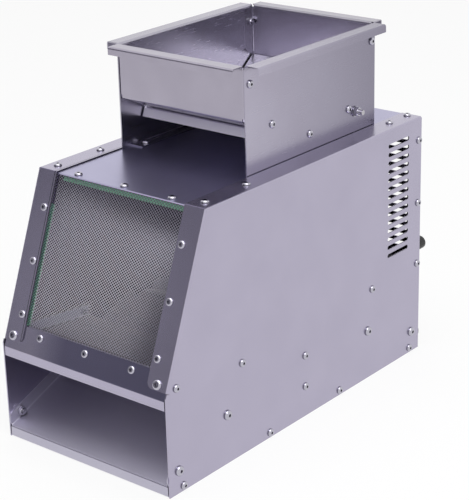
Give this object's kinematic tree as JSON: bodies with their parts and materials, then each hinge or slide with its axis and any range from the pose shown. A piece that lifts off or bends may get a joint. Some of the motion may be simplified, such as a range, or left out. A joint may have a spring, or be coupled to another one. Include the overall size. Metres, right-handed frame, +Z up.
{
  "type": "grain winnower",
  "caption": "Benchtop sheet-metal grain winnower: hopper with feed gate over a fan-blown chamber, sloping mesh front, chaff outlet in front and grain outlet behind.",
  "frame": {"origin": "centre of the cabinet's footprint, on the underside of the base tray", "axes": "+Z up; -Y towards the sloping mesh front and chaff outlet; +X towards the side with the speed knob"},
  "size_m": [0.2056, 0.4134, 0.3508],
  "materials": {
    "stainless": "satin stainless sheet",
    "hopper_stainless": "satin stainless sheet",
    "screw_steel": "bright stainless",
    "shaft_steel": "ground steel",
    "gasket_rubber": "green sponge rubber",
    "black_plastic": "fine-grained black plastic",
    "knob_plastic": "satin black plastic",
    "winding": "varnished copper winding on steel core",
    "circuit_board": "fibreglass board",
    "components": "moulded electronic components",
    "nylon": "nylon",
    "lead_insulation": "insulated wire"
  },
  "bodies": {
    "cabinet": {"right_side_panel": "stainless", "left_side_panel": "stainless", "top_plate": "stainless", "base_plate": "stainless", "rear_panel": "stainless", "front_crossbar": "stainless", "screen_spacers": "stainless", "front_mesh": "stainless", "front_chute": "stainless", "rear_chute": "stainless", "centre_divider": "stainless", "chaff_shelf": "stainless", "fan_bay_floor": "stainless", "fan_bulkhead": "stainless", "hopper_front_wall": "hopper_stainless", "hopper_rear_wall": "hopper_stainless", "hopper_right_wall": "hopper_stainless", "hopper_left_wall": "hopper_stainless", "hopper_feed_plate": "hopper_stainless", "hopper_rear_slope": "hopper_stainless", "fan_bolts": "screw_steel", "fan_nuts": "screw_steel", "potentiometer_nut": "screw_steel", "inlet_screws": "screw_steel", "inlet_nuts": "screw_steel", "board_screws": "screw_steel", "board_nuts": "screw_steel", "hopper_screws": "screw_steel", "hopper_nuts": "screw_steel", "hopper_foot_screws": "screw_steel", "side_screws": "screw_steel", "side_clinch_nuts": "screw_steel", "chute_bolts": "screw_steel", "chute_nuts": "screw_steel", "corner_bolts": "screw_steel", "corner_nuts": "screw_steel", "mesh_screws": "screw_steel", "top_screws": "screw_steel", "top_clinch_nuts": "screw_steel", "fan_guard": "screw_steel", "fan_bearings": "shaft_steel", "mesh_gasket": "gasket_rubber", "fan_frame": "black_plastic", "power_inlet": "black_plastic", "power_switch": "black_plastic", "potentiometer": "black_plastic", "fan_stator": "winding", "control_board": "circuit_board", "board_components": "components", "board_standoffs": "nylon", "bay_wiring": "lead_insulation"},
    "rotor": {"fan_rotor": "black_plastic", "fan_shaft": "shaft_steel"},
    "knob": {"speed_knob": "knob_plastic", "potentiometer_shaft": "shaft_steel"},
    "rocker": {"power_rocker": "black_plastic"},
    "gate": {"feed_gate": "hopper_stainless", "gate_shaft": "shaft_steel", "gate_washers": "screw_steel", "gate_nuts": "screw_steel"}
  },
  "joints": [
    {"name": "fan_spin", "type": "hinge", "parent": "cabinet", "child": "rotor", "pos_m": [0, 0.123, 0.16751], "axis": [0, 1, 0], "continuous": true},
    {"name": "knob_turn", "type": "hinge", "parent": "cabinet", "child": "knob", "pos_m": [0.0885, 0.2, 0.109], "axis": [0, 1, 0], "range_deg": [-150, 150]},
    {"name": "rocker_tilt", "type": "hinge", "parent": "cabinet", "child": "rocker", "pos_m": [0.03, 0.1985, 0.126], "axis": [1, 0, 0], "range_deg": [-18, 0]},
    {"name": "gate_swing", "type": "hinge", "parent": "cabinet", "child": "gate", "pos_m": [0, 0.1157, 0.2705], "axis": [1, 0, 0], "range_deg": [0, 28]}
  ]
}
